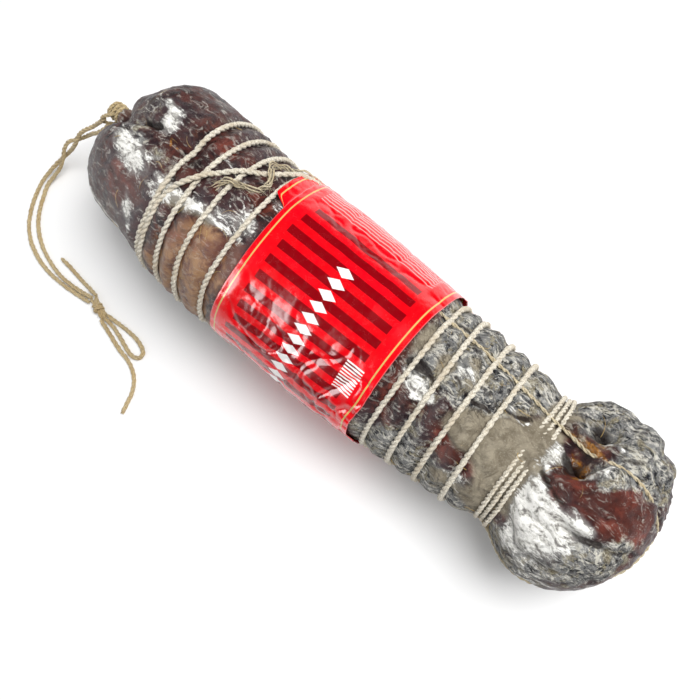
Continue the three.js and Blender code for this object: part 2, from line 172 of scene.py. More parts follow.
def plied(points, radius, plies, pitch, step=0.9, sides=6, slack=0.06, tail=2, off=0.5, thick=0.52):
    """The plies of a twisted cord: (points, faces) of each. slack is how unevenly the plies lie, and the
    last of the cord opens out over tail mm."""
    line = spaced(points, step)
    side, other = carried(line)
    length = np.arange(len(line)) * step
    knots = np.arange(0, length[-1] + 12, 6)
    wander = np.interp(length, knots, random.normal(0, 1, len(knots)))
    ends = np.clip(np.minimum(length, length[-1] - length) / tail, 0, 1)
    made = []
    for k in range(plies):
        turn = 2 * np.pi * (length / pitch + k / plies) + 0.35 * wander
        away = radius * off * (1 + slack * np.roll(wander, 7 * k))
        size = radius * thick * (1 + slack * np.roll(wander, 5 * k + 3))
        size = size * (0.55 + 0.45 * ends)
        way = np.cos(turn)[:, None] * side + np.sin(turn)[:, None] * other
        made.append(tube(line + way * away[:, None], size, sides))
    return made


def fibres(points, radius, count, reach, thick=0.09, step=3.0):
    """Fine fibres that stand off a cord: (points, faces) of each."""
    line = spaced(points, step)
    side, other = carried(line)
    made = []
    for _ in range(count):
        i = random.integers(1, len(line) - 1)
        turn = random.uniform(0, 2 * np.pi)
        out = np.cos(turn) * side[i] + np.sin(turn) * other[i]
        along = unit(line[i] - line[i - 1]) * random.choice([-1, 1])
        bend = random.normal(0, 0.5, 3)
        long = random.uniform(0.4, 1) * reach
        t = np.linspace(0, 1, 5)[:, None]
        path = line[i] + out * radius * 0.8 + along * long * t + (out * 0.5 + bend * 0.4) * long * t**2
        path[:, 2] = np.maximum(path[:, 2], thick)
        made.append(tube(path, thick * np.linspace(1, 0.4, 5), 3))
    return made


# ---- the hanging loop: the same routes as the CAD's ----

LOOP_R = 1.05
FLOOR = LOOP_R + 0.05  # height of a strand's centre where it lies on the surface


def laid(*route, height=FLOOR):
    """The route's points. One without a height of its own is at height."""
    return [[*point, height] if len(point) == 2 else point for point in route]


STRAND_OUTER = laid(
    [-164.2, 3.4, 42], [-167.4, 1, 39], [-170.8, -0.6, 35.6], [-174.6, -4, 32.6], [-178.4, -7.6, 30.8],
    [-182, -11.6, 27.6], [-184.6, -16.6, 22.4], [-188.6, -20.4, 17], [-193.2, -24.8, 12],
    [-197.4, -30, 8], [-201, -36.6, 4.4], [-203, -44.8, 1.8], [-201.2, -53.8], [-197.5, -62],
    [-192.4, -69.5], [-185.1, -75.4], [-176.3, -79.4], [-167.4, -81.6], [-158, -82.4], [-148.1, -82],
    [-138.8, -81], [-130.6, -79.8, FLOOR + 0.8],
)
STRAND_INNER = laid(
    [-164, 2.6, 36.4], [-166.6, -1.4, 34.6], [-170.8, -5.2, 32], [-175.6, -6.6, 28],
    [-180.4, -9.4, 24.2], [-185.2, -13.6, 22], [-189.6, -17.8, 21.2], [-191.6, -22.4, 18.2],
    [-192.6, -27.6, 12.8], [-194.6, -33, 7.6], [-197, -38.4, 4.2], [-198.6, -45, 1.9], [-196.4, -52],
    [-192.8, -59.2], [-187.8, -65.8], [-180.6, -71.4], [-172.4, -75.4], [-163.8, -78], [-155.6, -79.4],
    [-147.6, -79.4], [-139.2, -78.6], [-131, -77, FLOOR + 0.8],
)
TAIL_SHORT = laid(
    [-129.6, -74.4, 2.6], [-132.4, -74.4, 2], [-136.2, -74.2], [-140.4, -73.9], [-144.4, -73.5],
    [-148.4, -73], [-152.3, -72.5], [-157.4, -72], [-162.1, -71.8],
)
BOW_LOOP = laid(
    [-116.8, -78.6, 2.4], [-113.6, -78.6, 1.7], [-110, -78.4], [-106.4, -78.2], [-102.8, -78],
    [-99.6, -78], [-96.6, -78.2], [-93.6, -78.6], [-90.6, -79.4], [-87.8, -80.8], [-86.4, -83],
    [-87.2, -85.2], [-89.4, -86.4], [-92.4, -86.6], [-95.4, -85.9], [-98.8, -84.8], [-102.6, -83.6],
    [-106.4, -82.5], [-110, -81.6], [-113.6, -81.1, 1.7], [-117, -81, 2.4],
)
TAIL_LONG = laid(
    [-118.6, -83, 2], [-115.4, -84, 1.5], [-112, -85], [-107.2, -86.4], [-102.3, -87.8], [-96.8, -89],
    [-91.2, -90], [-85.6, -92.3], [-80.9, -96], [-77.6, -101.5], [-76.1, -107.2], [-74.6, -113.2],
)


# ---- the skin, cast from the CAD's meat ----

LEFT_X = -118
LEFT_CAP = 39
RIGHT_X = 133
RIGHT_CAP = 28
POLE_LEFT = np.array([10, 40])  # y and z of the middle of the end at -X
POLE_RIGHT = np.array([2, 37])
AXIS = np.array([[-118, 4.4, 42.3], [-60, -2.4, 41.5], [94, -3.4, 38.4], [133, -0.8, 38.3]])
POLE_GAP = 0.11  # radians left open round the poles
STATION = 1.1
COLUMNS = 272
FIRST = LEFT_X - LEFT_CAP * (math.pi / 2 - POLE_GAP)
LAST = RIGHT_X + RIGHT_CAP * (math.pi / 2 - POLE_GAP / 3)
STATIONS = np.arange(FIRST, LAST, STATION)
ANGLES = np.arange(COLUMNS) * 360 / COLUMNS


def rays(stations, angles):
    """Where rays to the skin start, and their directions, for each station and angle."""
    u, a = np.meshgrid(stations, np.radians(angles), indexing="ij")
    x = np.clip(u, LEFT_X, RIGHT_X)
    y, z = (np.interp(x, AXIS[:, 0], AXIS[:, k]) for k in (1, 2))
    start = np.stack([x, y, z], axis=-1)
    left = u < LEFT_X
    cap = np.where(left, LEFT_CAP, RIGHT_CAP)
    past = np.abs(u - x) / cap
    pole = np.where(left[..., None], POLE_LEFT, POLE_RIGHT) - start[..., 1:]
    wide = np.where(left, 42, 38) * np.cos(past)
    to_pole = (1 - np.cos(past))[..., None]
    across = pole * to_pole + wide[..., None] * np.stack([np.cos(a), np.sin(a)], axis=-1)
    ahead = np.sign(u - x) * cap * np.sin(past)
    return start, unit(np.concatenate([ahead[..., None], across], axis=-1))


def cast_skin(stations, angles):
    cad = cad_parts["cured_meat"].data
    corners = [v.co / MM - Vector(CENTRING) for v in cad.vertices]
    tree = BVHTree.FromPolygons(corners, [tuple(p.vertices) for p in cad.polygons])
    start, way = rays(stations, angles)
    hits = np.zeros_like(start)
    for i in np.ndindex(start.shape[:2]):
        hits[i] = tree.ray_cast(Vector(start[i]), Vector(way[i]))[0]
    return hits


def finer(coarse, stations, angles):
    """The coarse grid at every STATIONS and ANGLES."""
    rows = np.apply_along_axis(lambda v: np.interp(STATIONS, stations, v), 0, coarse)
    wrapped = np.concatenate([rows, rows[:, :1]], axis=1)
    turns = np.append(angles, 360)
    return np.apply_along_axis(lambda v: np.interp(ANGLES, turns, v), 1, wrapped)


def blur(grid, passes):
    for _ in range(passes):
        grid = (np.roll(grid, 1, 1) + 2 * grid + np.roll(grid, -1, 1)) / 4
        edge = np.concatenate([grid[:1], grid, grid[-1:]])
        grid = (edge[:-2] + 2 * edge[1:-1] + edge[2:]) / 4
    return grid


def normals(grid):
    along = np.gradient(grid, axis=0)
    round_it = np.roll(grid, -1, 1) - np.roll(grid, 1, 1)
    return unit(np.cross(round_it, along))


def sample(grid, u, angle):
    """The grid's value at any stations and angles, between its points."""
    i = np.clip((np.asarray(u, float) - FIRST) / STATION, 0, len(STATIONS) - 1.001)
    j = (np.asarray(angle, float) % 360) * COLUMNS / 360
    i0, j0 = np.floor(i).astype(int), np.floor(j).astype(int) % COLUMNS
    fi, fj = (i - i0)[..., None], (j - np.floor(j))[..., None]
    j1 = (j0 + 1) % COLUMNS
    low = grid[i0, j0] * (1 - fj) + grid[i0, j1] * fj
    high = grid[i0 + 1, j0] * (1 - fj) + grid[i0 + 1, j1] * fj
    return low * (1 - fi) + high * fi


def grain(points, size, seed=0):
    """Smooth noise from about -1 to 1 at each point. size is that of its lumps."""
    shape = points.shape[:-1]
    places = (points / size + 31.7 * seed).reshape(-1, 3).tolist()
    return np.array([noise.noise(p) for p in places]).reshape(shape)


COARSE_STATIONS = np.append(np.arange(FIRST, LAST, 3.3), LAST)
COARSE_ANGLES = np.arange(0, 360, 3)
base = blur(finer(cast_skin(COARSE_STATIONS, COARSE_ANGLES), COARSE_STATIONS, COARSE_ANGLES), 10)
base_normals = normals(blur(base, 4))
grid_u, grid_angle = np.meshgrid(STATIONS, ANGLES, indexing="ij")


# ---- shapes pressed and raised on the skin ----


def patch(u, angle, long, wide, turn=0):
    """1 at a place on the skin, fading over long mm along the body and wide mm round it, turned by turn
    degrees from the body towards larger angles."""
    here = sample(base, u, angle)
    out = unit(sample(base_normals, u, angle))
    ahead = sample(base, min(u + 1, LAST - 0.2), angle) - sample(base, u - 1, angle)
    ahead = unit(ahead - out * (ahead @ out))
    round_it = np.cross(ahead, out)
    c, s = math.cos(math.radians(turn)), math.sin(math.radians(turn))
    one, two = c * ahead + s * round_it, c * round_it - s * ahead
    away = base - here
    reach = ((away @ one) / long) ** 2 + ((away @ two) / wide) ** 2
    reach += ((away @ out) / max(long, wide, 9)) ** 2
    return np.exp(-reach)


def crease(places, width):
    """1 along the line through places, fading over width mm."""
    line = spaced(sample(base, *np.array(places, float).reshape(-1, 2).T), 1.5)
    nearest = np.full(grid_u.shape, 1e9)
    for point in line:
        nearest = np.minimum(nearest, ((base - point) ** 2).sum(-1))
    return np.exp(-nearest / width**2)


# Turns of the binding twine: [x at the top, how far both sides lie back, the slant from side to side]
TURNS_LEFT = [[-86.5, 5, 0], [-75, 3, 0], [-62.5, 3, 0], [-46, 4, 0]]
TURNS_RIGHT = [[45.5, 2, 0], [57.5, 2, 3], [71, 1.5, 2], [83.5, 0.5, 3]]
HIDDEN_TURNS = 6
BAND_LEFT = [-37.5, 5, 0]
BAND_RIGHT = [39, 0, 0]


def turn_x(turn, angle):
    top, bow, slant = turn
    c = np.cos(np.radians(angle))
    return top - bow * c * c - slant / 2 * c


hidden = [
    [a + (b - a) * (i + 1) / (HIDDEN_TURNS + 1) for a, b in zip(TURNS_LEFT[-1], TURNS_RIGHT[0])]
    for i in range(HIDDEN_TURNS)
]
TURNS = TURNS_LEFT + hidden + TURNS_RIGHT

# Lines pressed in: [station, angle, station, angle, ...], width, depth
FOLDS = [
    ([-152, 92, -136, 86, -124, 82, -119, 79], 2.2, 2.2), ([-119, 78.5, -114, 76.5, -110, 75], 1.6, 4.5),
    ([-110, 75, -100, 73, -90, 72, -80, 71], 3, 1.1),
    ([-126, 90, -116, 91, -108, 86, -103, 80], 2.5, 0.9),
    ([-88, 96, -72, 93, -56, 90, -44, 88], 2.4, 0.7), ([44, 88, 50, 84, 60, 90, 70, 88], 1.6, 1.1),
    ([62, 74, 72, 79, 80, 77, 92, 66], 1.8, 1.3), ([82, 68, 90, 66, 95, 60], 1.6, 1.5),
    ([44, 40, 56, 36, 68, 42, 80, 38], 1.8, 0.9), ([56, 62, 66, 60, 74, 64], 1.5, 1.1),
    ([48, 132, 60, 128, 72, 134], 1.8, 0.8), ([70, 108, 80, 112, 92, 116], 1.6, 0.9),
    ([108, 88, 114, 94, 121, 98, 128, 97, 134, 94], 2.0, 2.2), ([112, 72, 113, 80, 112, 90], 2.2, 1.6),
    ([126, 110, 133, 110, 139, 107, 147, 109, 156, 106], 2.0, 1.9),
    ([128, 56, 138, 50, 150, 46], 1.8, 1.4), ([124, 26, 134, 32, 146, 28], 2.0, 1.5),
    ([112, 132, 122, 140, 134, 138, 146, 130], 2.2, 1.5), ([132, 78, 139, 70, 147, 66], 1.8, 0.9),
    ([115, 120, 121, 116, 126, 120], 1.8, 1.0), ([140, 10, 150, 40, 156, 60], 2.4, 1.8),
    ([111, 64, 116, 70, 121, 75], 1.3, 3), ([113, 60, 118, 66, 123, 70], 1.2, 2.5),
    ([114, 31, 118, 38, 121, 45], 1.4, 2.5),
]
# Hollows and lumps: station, angle, length, width, height, turn
LUMPS = [
    (-140, 48, 24, 20, -3.2), (-148, 66, 9, 8, 3.2), (-150, 125, 18, 22, -2.6), (-122, 168, 26, 24, -4.2),
    (-117, 85, 8, 4, 1.5, 12), (-100, 100, 14, 9, 0.8), (113, 10, 12, 18, 4.2), (122, 340, 16, 18, 2),
    (104, 80, 5, 13, 1.6), (116.5, 68.5, 11, 7.5, -13, 50), (117.5, 36, 10, 7, -12, 45),
    (113, 77, 5, 6, -2.2), (126.5, 72, 6, 2.6, 3.4, -35), (125, 50, 4, 3, 3, 20),
    (117, 53, 12, 2.2, 4.5, 38), (112, 30, 4, 5, 1.2), (109, 82, 3, 8, 1.2), (130, 74, 7, 5, 1.3),
    (120, 89, 7, 3.4, 1.5, 10), (131, 103.5, 6, 2.6, 2.2, 8), (146, 88, 10, 8, 0.9),
    (119, 124, 9, 8, 1.1), (134, 124, 7, 5, 0.9), (133, 42, 5, 5, 1.3), (144, 34, 5, 5, 1.4),
    (152, 66, 4, 4, 1), (148, 122, 6, 5, 1.1), (137, 14, 5, 6, 1.4), (150, 10, 5, 6, 1.3),
]


def bell(away, width):
    """1 at the middle, fading over width."""
    return np.exp(-((away / width) ** 2))


def from_middle(angle, middle):
    """Degrees from the middle, -180 to 180."""
    return (angle - middle + 180) % 360 - 180


def summed(patches, lines=()):
    """The patches and lines added up, each as strong as it says."""
    total = np.zeros(grid_u.shape)
    for places, width, strength in lines:
        total += strength * crease(places, width)
    for u, angle, long, wide, strength, *turn in patches:
        total += strength * patch(u, angle, long, wide, *turn)
    return total


def pressed():
    height = summed(LUMPS) - summed((), FOLDS)
    for turn in TURNS:
        away = grid_u - turn_x(turn, grid_angle)
        height += 0.5 * bell(np.abs(away) - 6, 3) - 1.5 * bell(away, 3.2)
    return height


def roughen(height):
    stretched = base * [1.3, 1, 1]
    wrinkled = grain(stretched, 9, 1)
    height += 0.9 * grain(base, 22, 2) + 0.5 * (1 - 2 * np.abs(wrinkled))
    height += 0.3 * grain(stretched, 4, 3)
    height += 0.16 * grain(stretched, 1.9, 4)
    right = np.clip((grid_u - 36) / 8, 0, 1)
    height += right * (0.5 - 1.3 * np.abs(grain(base * [0.55, 1, 1], 5.5, 7)))
    knob = np.clip((grid_u - 110) / 8, 0, 1)
    far = knob * np.clip(np.cos(np.radians(grid_angle - 10)), 0, 1)
    height += knob * (0.9 * grain(base, 12, 5) + 0.4)
    return height - (0.9 * knob + 1.6 * far) * np.abs(grain(base, 7, 6))


height = roughen(pressed())
skin = base + base_normals * height[..., None]
skin[..., 2] = np.maximum(skin[..., 2], np.where(grid_u > 100, 0.4, 4.3))
soft_skin = blur(skin, 6)
soft_normals = normals(blur(skin, 16))


def on_skin(u, angle, lift):
    """Points at a height above the smoothed skin."""
    out = unit(sample(soft_normals, u, angle))
    return sample(soft_skin, u, angle) + out * np.asarray(lift, float)[..., None]


# ---- where each colour and mould lies: station, angle, length, width, strength in tenths, turn ----

BLOOM = [  # white mould
    (-118, 97, 13, 5, 7, 15), (-110, 102, 10, 5, 10, 10), (-98, 100, 9, 6, 4.5), (-108, 65, 4, 9, 10, 5),
    (-104, 71, 4, 6, 5), (-124, 62, 7, 7, 4), (-100, 132, 6, 6, 8), (-106, 165, 16, 6, 6),
    (-122, 150, 10, 6, 5), (-85, 103, 6, 8, 7), (-76, 98, 10, 5, 5), (-66, 93, 9, 4, 5.5),
    (-55, 88, 9, 4, 7), (-45, 85, 7, 5, 9), (-42, 60, 5, 5, 5), (-50, 76, 5, 4, 4),
    (52, 97, 5, 3.2, 14, 20), (57, 98, 3, 3, 12), (62, 66, 5, 4, 5), (83, 62, 5, 3, 6),
    (88, 150, 9, 7, 6), (85, 130, 5, 3, 7), (48, 155, 6, 5, 5), (74, 152, 8, 5, 5), (112, 108, 5, 8, 12),
    (114, 122, 7, 9, 11), (122, 116, 9, 8, 12), (129, 110, 7, 7, 11), (116, 140, 8, 9, 8),
    (127, 130, 8, 8, 9), (133, 103, 6, 3, 10), (126, 72, 5, 2.5, 7), (123, 46, 3, 3, 8),
    (110, 68, 3, 8, 5), (108, 85, 3, 8, 4), (130, 160, 12, 10, 6), (-130, 235, 20, 18, 6),
    (60, 240, 25, 12, 5), (-80, 300, 22, 14, 6), (130, 330, 15, 12, 5), (70, 320, 16, 9, 5),
    (-70, 205, 16, 8, 5),
]
DUST = [  # grey-blue speckled mould
    (-122, 66, 12, 9, 5), (-100, 55, 14, 12, 2.8), (-90, 30, 22, 14, 2.5), (-110, 88, 16, 8, 5),
    (-104, 108, 12, 12, 3.1), (-60, 40, 20, 12, 2.5), (-130, 110, 12, 20, 2.8), (-115, 140, 20, 12, 3.1),
    (-110, 170, 25, 12, 3.7), (-62, 70, 12, 8, 2.5), (-90, 88, 8, 8, 4.3), (50, 30, 16, 18, 9.5),
    (70, 28, 16, 20, 10), (88, 20, 12, 20, 10), (55, 60, 12, 9, 8), (70, 62, 10, 9, 8), (84, 55, 9, 9, 8),
    (50, 82, 9, 9, 8), (64, 82, 8, 8, 8), (76, 76, 9, 8, 8), (50, 150, 12, 12, 7.5), (68, 148, 12, 12, 8),
    (88, 150, 14, 12, 8), (60, 120, 10, 12, 4.5), (112, 20, 10, 20, 8), (128, 18, 14, 18, 8.5),
    (150, 25, 14, 18, 6), (130, 70, 8, 7, 9), (134, 52, 9, 9, 7.5), (148, 50, 10, 10, 7),
    (110, 78, 4, 12, 6), (120, 150, 16, 20, 8), (142, 125, 16, 14, 9), (150, 112, 9, 9, 8),
    (120, 100, 6, 6, 4), (60, 200, 40, 25, 7), (60, 260, 40, 30, 7), (60, 320, 40, 25, 8),
    (-90, 215, 40, 22, 3.7), (-90, 270, 40, 30, 3.7), (-90, 330, 40, 25, 3.7), (130, 210, 25, 25, 8),
    (130, 300, 25, 30, 8),
]
FELT = [  # smooth beige mould
    (43, 66, 5, 12, 9), (55, 72, 5, 6, 9), (68, 70, 4, 5, 7), (46, 120, 4, 10, 3.5), (76, 98, 9, 7, 11),
    (90, 96, 11, 11, 12), (97, 78, 8, 10, 12), (98, 108, 7, 10, 11), (100, 128, 6, 10, 10),
    (106, 70, 3.5, 12, 11), (106, 95, 4, 12, 12), (107, 122, 4, 9, 11), (78, 138, 7, 5, 8),
    (93, 140, 7, 6, 7), (-80, 102, 9, 5, 8), (-64, 95, 11, 4, 9), (-125, 64, 6, 6, 6), (58, 108, 6, 6, 5),
    (100, 20, 4, 30, 5), (100, 220, 6, 40, 9), (102, 300, 6, 40, 8), (108, 32, 5, 9, 5),
    (64, 58, 4, 4, 6),
]
TAN = [  # pale fat under the casing
    (-56, 105, 11, 9, 11), (-66, 120, 10, 9, 8), (-50, 125, 10, 12, 9), (-60, 145, 13, 12, 10),
    (-70, 150, 12, 14, 9), (-42, 105, 7, 9, 10), (-46, 160, 9, 10, 8), (-78, 140, 9, 10, 6),
    (-116, 82, 8, 4, 6, 10), (-124, 118, 4, 8, 5), (-92, 64, 6, 5, 3.5), (-96, 48, 6, 5, 3.5),
    (120, 53, 3, 4, 7), (140, 60, 8, 4, 5), (-60, 250, 25, 25, 5), (60, 230, 12, 12, 4),
    (-74, 172, 14, 6, 7),
]
RED = [  # lean meat under the casing
    (-64, 112, 9, 6, 5.5), (-50, 106, 8, 5, 4), (-74, 122, 6, 7, 5), (-103, 115, 9, 8, 16),
    (-109, 121, 9, 8, 12), (-81, 53, 6, 6, 11), (-68, 50, 7, 6, 10), (-67, 80, 4, 4, 7),
    (-52, 64, 5, 5, 8), (-86, 76, 7, 5, 5), (-44, 66, 4, 6, 6), (-110, 50, 10, 8, 3.5),
    (-96, 50, 8, 8, 4), (44, 112, 5, 9, 7), (50, 128, 7, 7, 8), (74, 116, 7, 5, 11), (85, 118, 6, 5, 12),
    (60, 105, 4, 4, 6), (128, 45, 5, 5, 9), (138, 42, 5, 6, 9), (142, 82, 12, 13, 12),
    (132, 88, 9, 7, 11), (117, 84, 6, 5, 10), (148, 95, 9, 7, 9), (118, 97, 6, 5, 8), (150, 74, 6, 6, 5),
    (-100, 230, 14, 12, 6), (-120, 310, 14, 14, 7), (50, 290, 12, 9, 6), (140, 250, 12, 14, 8),
    (-60, 330, 12, 10, 6),
]
AMBER = [  # gathered casing that light comes through
    (117, 67, 8, 6, 2.2, 50), (117, 37, 7, 6, 2.2, 45), (119, 76, 4, 3, 4), (-112, 83, 7, 4, 4),
    (120, 158, 9, 3, 5), (47, 46, 6, 3, 4), (112, 32, 4, 5, 5),
]
PAINTED_SHADE = [  # painted shade: near-black in the hollows and along the folds
    (-128, 108, 6, 12, 5), (-80, 30, 30, 20, 3), (116, 66, 7, 6, 8, 50), (117.5, 36, 8, 6.5, 8.5, 45),
    (47, 83, 6, 4, 6), (52, 44, 4, 3, 6), (45, 130, 6, 20, 3.5), (148, 34, 7, 8, 5), (66, 140, 8, 4, 4),
    (-86, 160, 10, 6, 3.5), (56, 30, 8, 4, 4.5), (-118, 126, 8, 5, 3.5),
]

# Edges and streaks: [station, angle, station, angle, ...], width, strength in tenths
BLOOM_LINES = [
    ([121, 79, 125, 75, 128, 68], 1.2, 13), ([121, 49, 125, 46, 128, 50], 1.2, 12),
    ([107, 62, 108, 74, 110, 86], 1.6, 10), ([-116, 58, -110, 62, -104, 70], 2.2, 9),
    ([-92, 97, -78, 96, -60, 94, -45, 93], 1.2, 11), ([-122, 96, -114, 100, -104, 102], 2.5, 6),
    ([-132, 150, -120, 158, -104, 160], 2, 8), ([-104, 118, -100, 128, -96, 140], 1.8, 6),
    ([-96, 90, -104, 94, -112, 92], 1.6, 6), ([-74, 60, -66, 64, -58, 62], 1.4, 6),
    ([64, 66, 70, 70, 78, 69], 1.2, 8), ([86, 64, 92, 70, 96, 62], 1.2, 7),
    ([44, 92, 52, 95, 60, 97], 1.6, 8), ([112, 100, 120, 104, 128, 106], 1.8, 7),
]
AMBER_LINES = [
    ([108, 44, 114, 51, 120, 57, 127, 62], 1.3, 11), ([112, 57, 116, 60, 122, 65], 1, 9),
    ([118, 78, 123, 76, 127, 70], 1.5, 12), ([121, 51, 124, 48, 123, 43], 1.4, 12),
    ([113, 28, 116, 27, 120, 30], 1.2, 9), ([114, 69, 118, 73, 121, 77], 0.9, 8),
    ([112, 63, 116, 68, 120, 72], 0.8, 9), ([116, 61, 119, 66, 122, 70], 0.8, 9),
    ([115, 33, 118, 38, 120, 44], 0.8, 8), ([112, 78, 116, 80, 120, 79], 1, 6),
    ([-92, 78, -97, 79, -100, 75], 0.7, 12), ([129, 76, 134, 74, 136, 68], 1, 7),
]
# Painted shade along the pressed creases
PAINTED_SHADE_LINES = [
    ([-119, 78.5, -115, 77, -111, 75], 1.7, 13), ([-111, 75, -98, 73, -86, 72], 1.8, 5.5),
    ([109, 90, 114, 95, 121, 99, 128, 98], 1.5, 8), ([127, 110, 134, 110, 141, 107], 1.6, 9),
    ([141, 107, 149, 109, 156, 106], 1.3, 7), ([111, 66, 113, 76, 112, 84], 3, 7.5),
    ([62, 75, 72, 80, 80, 78], 1.4, 8), ([82, 69, 90, 67, 95, 60], 1.5, 9),
    ([44, 42, 56, 37, 68, 43], 1.4, 6), ([112, 132, 122, 141, 134, 138], 1.5, 6),
    ([128, 56, 138, 50, 150, 46], 1.4, 7), ([44, 86, 52, 84, 60, 89], 1.4, 7),
]


def spread(patches, lines):
    """How much the patches and lines cover each place of the skin, from 0 to 1."""
    return np.clip(summed(patches, lines) / 10 * (0.88 + 0.5 * grain(base, 9, 12)), 0, 1)


# ---- materials ----


class Shader:
    """A material, built node by node."""

    def __init__(self, name):
        self.material = bpy.data.materials.new(name)
        self.material.use_nodes = True
        self.tree = self.material.node_tree
        self.surface = self.tree.nodes["Principled BSDF"]
        self.place = self.tree.nodes.new("ShaderNodeTexCoord").outputs["Object"]

    def feed(self, socket, value):
        if isinstance(value, bpy.types.NodeSocket):
            self.tree.links.new(value, socket)
        else:
            socket.default_value = (*value, 1) if isinstance(value, tuple) and len(value) == 3 else value

    def feed_all(self, node, values):
        for name, value in values.items():
            self.feed(node.inputs[name.replace("_", " ")], value)
        return node

    def node(self, kind, **inputs):
        return self.feed_all(self.tree.nodes.new("ShaderNode" + kind), inputs)

    def finish(self, **inputs):
        self.feed_all(self.surface, inputs)
        return self.material

    def math(self, operation, a, b=0.0, clamp=False):
        node = self.node("Math")
        node.operation = operation
        node.use_clamp = clamp
        self.feed(node.inputs[0], a)
        self.feed(node.inputs[1], b)
        return node.outputs[0]

    times = partialmethod(math, "MULTIPLY")
    over = partialmethod(math, "DIVIDE")
    plus = partialmethod(math, "ADD")
    minus = partialmethod(math, "SUBTRACT")
    most = partialmethod(math, "MAXIMUM")
    size = partialmethod(math, "ABSOLUTE")
    past_whole = partialmethod(math, "FRACT")

    def stretched(self, scale, turn):
        """Places drawn out along x, turned about z by turn degrees."""
        rotation = [0, 0, math.radians(turn)]
        return self.node("Mapping", Vector=self.place, Scale=[scale, 1, 1], Rotation=rotation).outputs[0]

    def noise(self, scale, detail=4, roughness=0.6, distortion=0, place=None):
        shape = dict(Scale=scale, Detail=detail, Roughness=roughness, Distortion=distortion)
        return self.node("TexNoise", Vector=place or self.place, **shape).outputs["Fac"]

    def between(self, value, low, high):
        """0 below low, 1 above high and smooth in between."""
        node = self.node("MapRange", Value=value, From_Min=low, From_Max=high)
        node.interpolation_type = "SMOOTHSTEP"
        return node.outputs["Result"]

    def cover(self, mask, pattern, spread=1.2, edge=0.12):
        """Where a mask shows through a pattern: all of it at 1, none at 0, and flecks in between."""
        pushed = self.plus(mask, self.times(self.minus(pattern, 0.5), spread))
        return self.between(pushed, 0.5 - edge, 0.5 + edge)

    def mix(self, share, a, b):
        node = self.node("Mix", Factor=share)
        node.data_type = "RGBA"
        self.feed(node.inputs[6], a)
        self.feed(node.inputs[7], b)
        return node.outputs[2]

    def toned(self, pattern, low, high, a, b, share=1):
        """a where the pattern is low, and where it is high that share of b."""
        rising = self.between(pattern, low, high)
        return self.mix(rising if share == 1 else self.times(rising, share), a, b)

    def painted(self, name):
        node = self.node("Attribute")
        node.attribute_name = name
        return self.node("SeparateColor", Color=node.outputs["Color"]).outputs

    def bump(self, height, distance, strength):
        return self.node("Bump", Height=height, Distance=distance, Strength=strength).outputs["Normal"]


def paint(mesh, name, *channels):
    values = np.ones((channels[0].size, 4), np.float32)
    for k, channel in enumerate(channels):
        values[:, k] = channel.ravel()
    mesh.color_attributes.new(name, "FLOAT_COLOR", "POINT").data.foreach_set("color", values.ravel())


# ---- the casing ----


